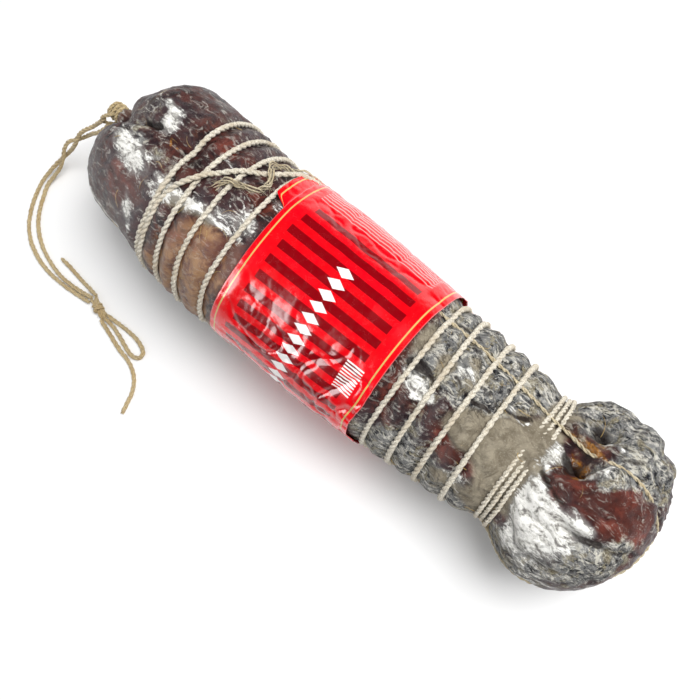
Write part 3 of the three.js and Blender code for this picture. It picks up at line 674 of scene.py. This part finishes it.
def casing_material():
    s = Shader("casing")
    bloom, dust, felt = s.painted("mould")[:3]
    tan, red, amber = s.painted("tone")[:3]
    shade_mask = s.painted("painted_shade")[0]
    along = s.stretched(0.6, 14)
    broad = s.noise(45, 3, 0.55)
    patchy = s.noise(150, 7, 0.68, 0.8)
    blotch = s.noise(340, 8, 0.78, 0.2, along)
    wisps = s.noise(260, 7, 0.74, 1.8, s.stretched(0.4, 24))
    crackle = s.noise(120, 5, 0.58, 0.9, along)
    specks = s.noise(1400, 4, 0.7, 0.6)
    both = s.plus(s.times(patchy, 0.5), s.times(blotch, 0.5))
    flecked = s.plus(s.times(blotch, 0.45), s.times(specks, 0.2))
    flecked = s.plus(flecked, s.times(wisps, 0.35))

    colour = s.toned(patchy, 0.38, 0.62, (0.016, 0.008, 0.009), (0.09, 0.026, 0.02))
    colour = s.toned(broad, 0.42, 0.6, colour, (0.046, 0.028, 0.034), 0.6)
    tan_tone = s.toned(patchy, 0.35, 0.62, (0.135, 0.052, 0.034), (0.35, 0.19, 0.088))
    tan_tone = s.toned(broad, 0.45, 0.56, tan_tone, (0.105, 0.034, 0.03), 0.85)
    colour = s.mix(s.cover(tan, patchy, 0.8, 0.3), colour, tan_tone)
    red_tone = s.toned(patchy, 0.35, 0.65, (0.06, 0.014, 0.011), (0.2, 0.044, 0.028))
    red_tone = s.toned(broad, 0.5, 0.62, red_tone, (0.034, 0.013, 0.011), 0.6)
    colour = s.mix(s.cover(red, patchy, 0.9, 0.25), colour, red_tone)
    amber_tone = s.toned(blotch, 0.4, 0.62, (0.085, 0.026, 0.004), (0.5, 0.21, 0.028))
    colour = s.mix(s.cover(amber, blotch, 1.1, 0.2), colour, amber_tone)
    bare_haze = s.minus(0.4, s.times(s.most(tan, red), 0.3))
    colour = s.toned(flecked, 0.53, 0.6, colour, (0.33, 0.305, 0.265), bare_haze)

    grey = s.toned(blotch, 0.42, 0.52, (0.014, 0.015, 0.019), (0.2, 0.2, 0.195))
    grey = s.toned(flecked, 0.515, 0.58, grey, (0.62, 0.6, 0.54))
    olive_tone = s.toned(specks, 0.4, 0.6, (0.11, 0.085, 0.045), (0.38, 0.335, 0.22))
    grey = s.toned(patchy, 0.51, 0.6, grey, olive_tone, 0.7)
    flakes = s.noise(190, 7, 0.72, 1.4, along)
    grey = s.toned(flakes, 0.555, 0.6, grey, (0.6, 0.575, 0.49), 0.75)
    dusty = s.cover(dust, both, 1.5, 0.12)
    colour = s.mix(dusty, colour, grey)

    strands = s.plus(0.3, s.times(s.plus(dust, bloom), 0.5))
    strands = s.minus(strands, s.times(s.most(tan, red), 0.12), True)
    colour = s.mix(s.times(s.between(wisps, 0.54, 0.6), strands, True), colour, (0.6, 0.575, 0.51))

    felt_tone = s.toned(patchy, 0.35, 0.65, (0.15, 0.125, 0.088), (0.3, 0.262, 0.195))
    felt_tone = s.toned(specks, 0.52, 0.7, felt_tone, (0.46, 0.42, 0.33), 0.5)
    felted = s.cover(felt, both, 0.9, 0.2)
    colour = s.mix(felted, colour, felt_tone)

    film = s.times(s.cover(bloom, both, 1.5, 0.25), 0.55)
    colour = s.mix(film, colour, (0.33, 0.325, 0.31))
    streaky = s.plus(s.times(blotch, 0.45), s.times(wisps, 0.55))
    white = s.toned(streaky, 0.42, 0.55, (0.4, 0.385, 0.34), (0.9, 0.89, 0.85))
    white = s.toned(specks, 0.5, 0.7, white, (0.94, 0.93, 0.89), 0.4)
    bloomed = s.cover(s.times(bloom, 0.71), streaky, 3.6, 0.14)
    colour = s.mix(bloomed, colour, white)

    line = s.between(s.size(s.minus(crackle, 0.5)), 0.028, 0.004)
    # painted shade: near-black in the hollows and creases, joined with the dark crack lines in the grey
    # mould
    shade_and_cracks = s.cover(shade_mask, flecked, 1.5, 0.16)
    cracks = s.times(line, dust)
    shade_and_cracks = s.most(s.times(shade_and_cracks, 0.9), s.times(cracks, 0.6))
    colour = s.mix(shade_and_cracks, colour, (0.016, 0.01, 0.009))

    mould = s.most(s.most(dusty, felted), bloomed)
    bare = s.plus(s.times(s.between(patchy, 0.3, 0.7), 0.25), 0.26)
    rough = s.plus(s.times(mould, s.minus(0.88, bare)), bare)

    relief = s.plus(s.times(blotch, 0.9), s.times(specks, 0.3))
    relief = s.plus(relief, s.times(bloomed, 0.2))
    relief = s.minus(relief, s.times(cracks, 0.2))
    normal = s.bump(relief, 0.0013, 0.7)
    return s.finish(Base_Color=colour, Roughness=rough, Normal=normal, Specular_IOR_Level=0.32)


NUB_RADII = [4.4, 4, 3.5, 3.1, 2.7, 2.5, 2.5, 2.6, 3, 3.5, 3.8, 3.3, 2.2]
NUB_STEP = 0.75


def round_pole(radius, turn):
    """y and z on a circle round the middle of the end at -X."""
    return POLE_LEFT[0] + radius * np.cos(turn), POLE_LEFT[1] + radius * np.sin(turn)


def make_meat():
    turn = np.radians(ANGLES)
    ruffle = 1 + 0.1 * np.cos(7 * turn) + 0.05 * np.cos(12 * turn + 1)
    nub = []
    for k, radius in enumerate(NUB_RADII):
        x = np.full(COLUMNS, LEFT_X - LEFT_CAP - NUB_STEP * k)
        nub.append(np.stack([x, *round_pole(radius * ruffle, turn)], -1))
    rows = np.concatenate([np.array(nub[::-1]), skin])
    points = rows.reshape(-1, 3)
    faces = strip_faces(len(rows), COLUMNS)
    tips = [rows[0].mean(0), rows[-1].mean(0)]
    last = (len(rows) - 1) * COLUMNS
    for j in range(COLUMNS):
        k = (j + 1) % COLUMNS
        faces.append((len(points), k, j))
        faces.append((len(points) + 1, last + j, last + k))
    made = make_object("meat", np.concatenate([points, tips]), faces, casing_material())

    def whole(on_nub, patches, lines=()):
        """A mask on the skin, with one value on the nub, carried on over the two tips."""
        mask = spread(patches, lines)
        ends = np.full(COLUMNS * len(nub), on_nub)
        return np.concatenate([ends, mask.ravel(), [on_nub, mask[-1].mean()]])

    paint(made.data, "mould", whole(0.4, BLOOM, BLOOM_LINES), whole(0.3, DUST), whole(0.5, FELT))
    paint(made.data, "tone", whole(0.9, TAN), whole(0, RED), whole(0.1, AMBER, AMBER_LINES))
    # painted shade in the hollows and creases
    paint(made.data, "painted_shade", whole(0, PAINTED_SHADE, PAINTED_SHADE_LINES))
    piece(made, "meat", "cured_meat")


make_meat()


# ---- twine and jute materials ----


def string_material(name, shade, middle, light, stain):
    s = Shader(name)
    broad = s.noise(70, 3, 0.6)
    tufts = s.noise(1500, 5, 0.7, 0.5)
    hairs = s.noise(5200, 2, 0.6)
    colour = s.toned(tufts, 0.35, 0.62, shade, middle)
    colour = s.mix(s.times(s.between(hairs, 0.45, 0.75), 0.6), colour, light)
    colour = s.mix(s.times(s.between(broad, 0.45, 0.68), 0.55), colour, stain)
    relief = s.plus(tufts, s.times(hairs, 0.5))
    normal = s.bump(relief, 0.0005, 0.7)
    return s.finish(Base_Color=colour, Roughness=0.9, Normal=normal, Sheen_Weight=0.15)


STRINGS = {  # in the grooves, between, at the hairs, where stained
    "cotton": [(0.36, 0.3, 0.21), (0.8, 0.75, 0.63), (0.93, 0.91, 0.84), (0.5, 0.41, 0.28)],
    "jute": [(0.26, 0.17, 0.075), (0.6, 0.47, 0.25), (0.82, 0.73, 0.5), (0.42, 0.29, 0.13)],
    "pale_jute": [(0.3, 0.23, 0.13), (0.64, 0.56, 0.39), (0.82, 0.77, 0.62), (0.45, 0.34, 0.18)],
    "straw": [(0.35, 0.2, 0.04), (0.6, 0.42, 0.15), (0.75, 0.64, 0.38), (0.5, 0.3, 0.08)],
}
cotton, jute, pale_jute, straw = (string_material(name, *tones) for name, tones in STRINGS.items())


# ---- the binding twine ----

COTTON_R = 1.3
TWINE_LIFT = 1.0  # centre of a turn above the skin that it presses into
OVER_LIFT = 3.3  # centre of a strand that crosses over a turn
STEP = 6
TURN_FROM = -36
TURN_TO = 216
CROSSING = 232
BESIDE = 2 * COTTON_R + 0.4

# From under the band, over the last turns at the hanging end, to where it runs down beside the first
LEAD = laid(
    [-40, 14], [-43.5, 19], [-46, 24, 2.4], [-49, 31, OVER_LIFT], [-51.5, 37, 2.6], [-54, 43],
    [-58, 52], [-61, 57, 2.4], [-64.2, 62, OVER_LIFT], [-67, 67, 2.4], [-70, 72], [-73, 78, 2.4],
    [-76, 84, OVER_LIFT], [-79, 90, 2.4], [-81.5, 96], [-84.4, 108], height=TWINE_LIFT,
)


def smooth(value, low, high):
    t = np.clip((value - low) / (high - low), 0, 1)
    return t * t * (3 - 2 * t)


def binding_line():
    rows = list(LEAD)
    first = TURNS[0]
    for angle in range(114, 360 + TURN_FROM, STEP):
        moved = smooth(angle, TURN_TO, 360 + TURN_FROM)
        rows.append([turn_x(first, angle) + BESIDE * (1 - moved), angle, TWINE_LIFT])
    for i, turn in enumerate(TURNS):
        for angle in range(TURN_FROM, TURN_TO + 1, STEP):
            rows.append([turn_x(turn, angle), angle, TWINE_LIFT])
        if i == len(TURNS) - 1:
            break
        for angle in range(TURN_TO + STEP, 360 + TURN_FROM, STEP):
            moved = smooth(angle, TURN_TO, 360 + TURN_FROM)
            hump = bell(angle - CROSSING, 13) if i == 0 else 0
            x = turn_x(turn, angle) + moved * (turn_x(TURNS[i + 1], angle) - turn_x(turn, angle))
            rows.append([x, angle, TWINE_LIFT + (OVER_LIFT - TWINE_LIFT) * hump])
    last = turn_x(TURNS[-1], TURN_TO)
    rows += [[last + 1.2 * k, TURN_TO + 12 * k, TWINE_LIFT] for k in (1, 2, 3)]
    return on_skin(*np.array(rows, float).T)


def make_string(name, line, radius, material, slot, node, plies, pitch, hairs, reach, **more):
    parts = plied(line, radius, plies, pitch, **more)
    parts += fibres(line, radius, hairs, reach)
    points, faces = join_parts(parts)
    points[:, 2] = np.maximum(points[:, 2], 0.03)
    return piece(make_object(name, points, faces, material), slot, node)


make_string(
    "twine_turns", binding_line(), COTTON_R, cotton, "cotton", "binding_twine",
    plies=2, pitch=6.6, hairs=260, reach=2.2, off=0.42, thick=0.64,
)

NECK_R = 1.1
NECK_X = 102.2
NECK_TURNS = 3
NECK_PITCH = 3
NECK_SUNK = 77  # angle at which mould covers the turns


def neck_line():
    turned = np.arange(0, NECK_TURNS * 360 + 1, 9)
    x = NECK_X + (turned / 360 - NECK_TURNS / 2) * NECK_PITCH
    sunk = bell((270 + turned) % 360 - NECK_SUNK, 24)
    return on_skin(x, 270 + turned, 0.9 - 2.6 * sunk + 0.25 * np.sin(turned / 9))


make_string(
    "neck_twine", neck_line(), NECK_R, cotton, "cotton", "neck_tie", plies=2, pitch=5, hairs=40, reach=2
)


# ---- the lengthwise jute ----

STRAND_R = 0.85
STRAND_LIFT = 0.55
TIP = 168  # station of the knob's tip


def crease_angle(angle, u):
    """Past the neck the first strand swings to the top of the knob and the second keeps to its edge."""
    if angle == 178:
        return angle - 13 * smooth(u, 100, 112) + 30 * smooth(u, 134, 152)
    return angle + (17 * smooth(u, 104, 122) if angle in (43, 223) else 0)


def strand_line(out, back, start, end, tip_lift):
    def half(angle, first):
        u = np.append(np.arange(first, TIP, 4.0), TIP)
        lift = STRAND_LIFT + (tip_lift - STRAND_LIFT) * smooth(u, 152, TIP)
        return on_skin(u, crease_angle(angle, u), lift)

    tip = on_skin(np.array([LAST - 0.5]), np.array([90.0]), np.array([tip_lift]))
    line = np.concatenate([half(out, start), tip, half(back, end)[::-1]])
    for _ in range(3):
        line[1:-1] = (line[:-2] + 2 * line[1:-1] + line[2:]) / 4
    return line


for name, route, node in (
    ("jute_strand_a", strand_line(43, 223, -30, -141, 0.9), "lengthwise_jute_a"),
    ("jute_strand_b", strand_line(178, 322, -141, -141, 2.6), "lengthwise_jute_b"),
):
    make_string(name, route, STRAND_R, pale_jute, "jute", node, plies=2, pitch=7, hairs=90, reach=4)


# ---- the band ----

BAND_ACROSS = 100
BAND_ROUND = 400
BAND_WIDTH = 76
FLAP = 0.1  # how far the inner layer shows past the edge at -X, as a share of the band's width
FLAP_ROWS = 10
BAND_THICK = 0.3
BAR_STEP = 10.6  # degrees from each bar to the next
LOZENGE_STEP = 8.2


def band_lift(angle):
    """The band hugs the twine on top, and is 4 mm off the CAD's skin where it meets the surface."""
    under = bell(from_middle(angle, 270), 50)
    return 3.1 + 0.9 * under


def make_band():
    tight = blur(base, 60)
    tight_normals = normals(tight)
    shares = np.concatenate([np.linspace(-FLAP, -0.005, FLAP_ROWS), np.linspace(0, 1, BAND_ACROSS + 1)])
    rows = len(shares)
    share, angle = np.meshgrid(shares, np.arange(BAND_ROUND) * 360 / BAND_ROUND, indexing="ij")
    under = share < 0
    away = np.abs(from_middle(angle, 24))
    flap = 0.02 + 0.98 * smooth(-away, -38, -31)
    left = turn_x(BAND_LEFT, angle)
    right = turn_x(BAND_RIGHT, angle) - 2.2 * smooth(angle, 125, 150) + 3.4 * smooth(angle, 165.5, 167)
    x = left + np.where(under, BAND_WIDTH * flap, right - left) * share
    flat = sample(tight, x, angle)
    out = unit(sample(tight_normals, x, angle))
    crinkled = bell(angle - 140, 38) * (0.35 + share) + 0.6 * bell(angle - 28, 22)
    folds = np.abs(grain(flat * [1, 0.8, 0.8], 15, 8))
    sharp = np.clip(1 - folds * 7, 0, 1) ** 1.5
    small = np.clip(1 - np.abs(grain(flat, 7, 9)) * 6, 0, 1) ** 1.5
    ridges = sum(bell(x - turn_x(turn, angle), 2.6) for turn in TURNS)
    free = 1 - bell(from_middle(angle, 270), 45)
    lift = band_lift(angle) + free * (0.5 * grain(flat, 20, 10) + 0.25 * ridges)
    lift = lift - free * crinkled * (0.9 * sharp + 0.45 * small + 0.35 * grain(flat, 5, 11))
    outer = flat + out * (lift - 0.5 * under)[..., None]
    outer[..., 2] = np.maximum(outer[..., 2], 0.02)
    inner = outer - out * BAND_THICK
    inner[..., 2] = np.maximum(inner[..., 2], 0.02 + BAND_THICK * np.clip(-out[..., 2], 0, 1))
    count = rows * BAND_ROUND
    points = np.concatenate([outer.reshape(-1, 3), inner.reshape(-1, 3)])
    faces = strip_faces(rows, BAND_ROUND)
    faces += [[i + count for i in face[::-1]] for face in faces]
    edge = count - BAND_ROUND
    for j in range(BAND_ROUND):
        k = (j + 1) % BAND_ROUND
        faces.append((k, j, count + j, count + k))
        faces.append((edge + j, edge + k, count + edge + k, count + edge + j))
    made = make_object("band", points, faces, band_material())
    paint(made.data, "print", np.tile(share * BAND_WIDTH / 100, (2, 1)), np.tile(angle / 360, (2, 1)))
    piece(made, "band", "label_band")


def band_material():
    s = Shader("band")
    across, turned = s.painted("print")[:2]
    x = s.times(across, 100)
    angle = s.times(turned, 360)

    def inside(value, middle, half, edge=0.12):
        away = s.size(s.minus(value, middle))
        return s.minus(1, s.between(away, half - edge, half + edge))

    def box(x_middle, x_half, angle_middle, angle_half):
        return s.times(inside(x, x_middle, x_half), inside(angle, angle_middle, angle_half, 0.2))

    def stripes(step, half, edge):
        """Stripes across the band, one for every step degrees round it."""
        return inside(s.past_whole(s.over(angle, step)), 0.5, half, edge)

    random_end = s.node("TexWhiteNoise")
    random_end.noise_dimensions = "1D"
    s.feed(random_end.inputs["W"], s.math("FLOOR", s.over(angle, BAR_STEP)))
    half_long = s.plus(27.5, s.times(random_end.outputs["Value"], 3))
    away = s.size(s.minus(x, BAND_WIDTH / 2))
    long_enough = s.minus(1, s.between(s.minus(away, half_long), -0.1, 0.1))
    bars = s.times(s.times(stripes(BAR_STEP, 0.26, 0.02), long_enough), inside(angle, 128, 84, 0.3))

    tone = s.noise(60, 3, 0.5)
    red = s.toned(tone, 0.4, 0.6, (0.72, 0, 0.005), (0.82, 0, 0.008))
    colour = s.mix(bars, red, (0.22, 0, 0.003))
    row = s.minus(s.past_whole(s.over(angle, LOZENGE_STEP)), 0.5)
    lozenge = s.over(s.size(s.minus(x, 38.5)), 4.6)
    lozenge = s.plus(lozenge, s.over(s.size(row), 0.4))
    in_row = inside(angle, 14 * LOZENGE_STEP, 6 * LOZENGE_STEP, 0.2)
    lozenges = s.times(s.minus(1, s.between(lozenge, 0.97, 1.03)), in_row)
    white = s.most(lozenges, s.times(stripes(2.2, 0.24, 0.05), box(65, 4.4, 119, 10.8)))
    colour = s.mix(white, colour, (0.86, 0.83, 0.82))
    small = s.times(stripes(3.1, 0.16, 0.05), box(37, 30, 27, 9))
    colour = s.mix(s.times(small, 0.75), colour, (0.72, 0.38, 0.37))
    gold = s.most(inside(x, 2.6, 0.33, 0.08), inside(x, BAND_WIDTH - 2.8, 0.33, 0.08))
    gold = s.most(gold, inside(x, -5.2, 0.33, 0.08))
    colour = s.mix(gold, colour, (0.62, 0.42, 0.13))
    # painted highlight: a paler pink line along both edges of the band
    edge = s.most(inside(x, 0.1, 0.12), inside(x, BAND_WIDTH, 0.3))
    colour = s.mix(s.times(edge, 0.5), colour, (0.75, 0.25, 0.25))
    micro = s.noise(320, 4, 0.6, 0.4)
    rough = s.plus(0.17, s.times(s.between(micro, 0.3, 0.7), 0.12))
    normal = s.bump(micro, 0.0004, 0.35)
    coat = dict(Coat_Weight=0.35, Coat_Roughness=0.08)
    return s.finish(Base_Color=colour, Roughness=rough, Normal=normal, **coat)


make_band()


# ---- the hanging loop ----


def lay_cord(line, step):
    path = spaced(line, step)


def loop_cord(name, route, node, hairs):
    line = np.array(route, float)
    made = make_string(
        name, line, LOOP_R, jute, "jute", node,
        plies=3, pitch=9, step=0.7, sides=7, hairs=hairs, reach=2, off=0.58, thick=0.6,
    )
    lay_cord(line, 2)


KNOT = np.array([-124, -78.8, 2.6])
KNOT_WAY = np.array([math.cos(math.radians(-18)), math.sin(math.radians(-18)), 0])


def make_knot():
    across = np.array([-KNOT_WAY[1], KNOT_WAY[0], 0])
    parts = []
    t = np.linspace(0, 2 * np.pi, 25)[:, None]
    for lean, shift, size in ((20, 0.8, 0.9), (34, -0.6, 0.85), (-24, 0.1, 0.95)):
        along = shift + math.tan(math.radians(lean)) * 2.4 * np.cos(t)
        ring = KNOT + KNOT_WAY * along + across * 2.5 * size * np.cos(t) + [0, 0, 1.75 * size] * np.sin(t)
        parts += plied(ring, 0.95, 3, 8, step=0.6)
    t = np.linspace(-1, 1, 13)[:, None]
    for side, start, end in ((1.7, -7.4, 6.4), (-1.6, -7.6, 7), (0.2, -6, 7.6)):
        line = KNOT + KNOT_WAY * ((end - start) / 2 * t + (end + start) / 2)
        line += across * side * (1 - 0.35 * (1 - t * t))
        line[:, 2] = 1.2 + 1.1 * (1 - t[:, 0] ** 2)
        parts += plied(line, 1.0, 3, 9, step=0.6)
    parts += fibres(KNOT + KNOT_WAY * np.linspace(-4, 4, 6)[:, None], 1.8, 22, 2.6, step=1)
    points, faces = join_parts(parts)
    points[:, 2] = np.maximum(points[:, 2], 0.05)
    piece(make_object("bow_knot", points, faces, jute), "jute", "loop_knot")


make_knot()
loop_cord("loop_outer", STRAND_OUTER, "loop_strand_outer", 70)
loop_cord("loop_inner", STRAND_INNER, "loop_strand_inner", 60)
loop_cord("tail_short", TAIL_SHORT, "loop_tail_short", 30)
loop_cord("bow", BOW_LOOP, "bow_loop", 30)
loop_cord("tail_long", TAIL_LONG, "loop_tail_long", 30)


# The hitch that holds the two strands to the last turn of the tie
HITCH = [
    [-159.5, 8, 44.6], [-162, 5.4, 44.4], [-164.6, 3.6, 43.4], [-166.4, 2.2, 41], [-166.6, 1.8, 38.6],
    [-165.4, 2.6, 36.2], [-163, 4.6, 35], [-160.4, 7, 34.8],
]

TIE_R = 4.1
TIE_PITCH = 2.5


def make_end_tie():
    turns = np.arange(31) / 12
    x = LEFT_X - LEFT_CAP - 1.2 - TIE_PITCH * turns
    line = np.stack([x, *round_pole(TIE_R, 2 * np.pi * turns)], -1)
    parts = []
    for route in (line, np.array(HITCH)):
        parts += plied(route, LOOP_R, 3, 8, step=0.6) + fibres(route, LOOP_R, 18, 2.6, step=1.5)
    piece(make_object("tie_turns", *join_parts(parts), jute), "jute", "end_tie")


make_end_tie()


# ---- the loose end of jute beside the band ----

SCRAP_R = 0.8
# station, angle and height from under the band, over one turn, over the lead, and over the next turn
LOOSE_END = [
    [-41, 5, 1], [-44.5, 11, 1.3], [-47, 16, 2.6], [-49.8, 21, 3.6], [-52.4, 26, 2.4],
    [-54.8, 31, 1.1], [-57.6, 36, 1.1], [-58.6, 41, 2.2], [-57, 46, 4], [-54.4, 50.5, 3.6],
    [-52, 55, 1.8], [-51.8, 60, 1.1], [-53.8, 64.5, 1.1], [-57, 67, 1.2], [-60, 68.4, 2.2],
    [-62.8, 70.4, 3.7], [-65.2, 73.4, 2.6], [-66.6, 76.5, 1.2], [-67, 80, 1],
]


def make_loose_end():
    line = on_skin(*np.array(LOOSE_END, float).T)
    made = make_string(
        "loose_jute", line, SCRAP_R, pale_jute, "jute", "loose_jute_end",
        plies=5, pitch=19, step=0.7, slack=0.35, hairs=30, reach=1.6, tail=8, off=1.15, thick=0.3,
    )
    frizz = fibres(line[9:], SCRAP_R, 46, 6, 0.13, 1.5)
    piece(make_object("loose_frizz", *join_parts(frizz), pale_jute), "jute")
    lay_cord(line, 1.5)


make_loose_end()


# ---- stray fibres on the casing ----

STRAY = 44


def make_stray_fibres():
    parts = []
    for _ in range(STRAY):
        left = random.random() < 0.5
        u = random.uniform(-125, -45) if left else random.uniform(42, 140)
        angle = random.uniform(20, 190)
        way = random.uniform(0, 2 * np.pi)
        curl = random.normal(0, 0.7)
        long = random.uniform(3, 9)
        t = np.linspace(0, 1, 8)
        us = u + long * t * np.cos(way + curl * t)
        angles = angle + long * t * np.sin(way + curl * t) * 1.45
        lift = 0.15 + 0.5 * np.sin(np.pi * t) * random.random()
        line = on_skin(us, angles, lift)
        parts.append(tube(line, random.uniform(0.06, 0.15) * (1 - 0.6 * t), 4))
    piece(make_object("stray_fibres", *join_parts(parts), straw), "jute")


make_stray_fibres()


# ---- floor and lights ----

LIT = (0, 0, 0.03)  # where both lights point
PANEL_POWER, TOP_POWER, WORLD_STRENGTH = 16, 13.5, 0.4


def area_light(name, place, size, power):
    light = bpy.data.objects.new(name, bpy.data.lights.new(name, "AREA"))
    light.data.shape = "RECTANGLE"
    light.data.size, light.data.size_y = size
    light.data.energy = power
    light.location = place
    light.rotation_euler = (Vector(LIT) - Vector(place)).to_track_quat("-Z", "Y").to_euler()
    bpy.context.collection.objects.link(light)
    return light


def make_studio():
    bpy.ops.mesh.primitive_plane_add(size=6)
    floor = bpy.context.object
    floor.name = "floor"
    s = Shader("floor")
    tone = s.mix(s.noise(3, 2, 0.5), (0.9, 0.9, 0.9), (0.92, 0.92, 0.92))
    floor.data.materials.append(s.finish(Base_Color=tone, Roughness=0.8))
    panel = area_light("panel", (-0.6, -0.6, 0.52), (0.7, 0.8), PANEL_POWER)  # only for sheen
    panel.visible_diffuse = False
    top = area_light("top", (0.3, 0.35, 0.95), (0.6, 0.6), TOP_POWER)
    top.visible_glossy = False
    world = bpy.data.worlds.new("world")
    world.use_nodes = True
    background = world.node_tree.nodes["Background"].inputs
    background["Color"].default_value = (1, 1, 1, 1)
    background["Strength"].default_value = WORLD_STRENGTH
    world.cycles_visibility.glossy = False
    bpy.context.scene.world = world
    bpy.context.scene.view_settings.view_transform = "Standard"


make_studio()
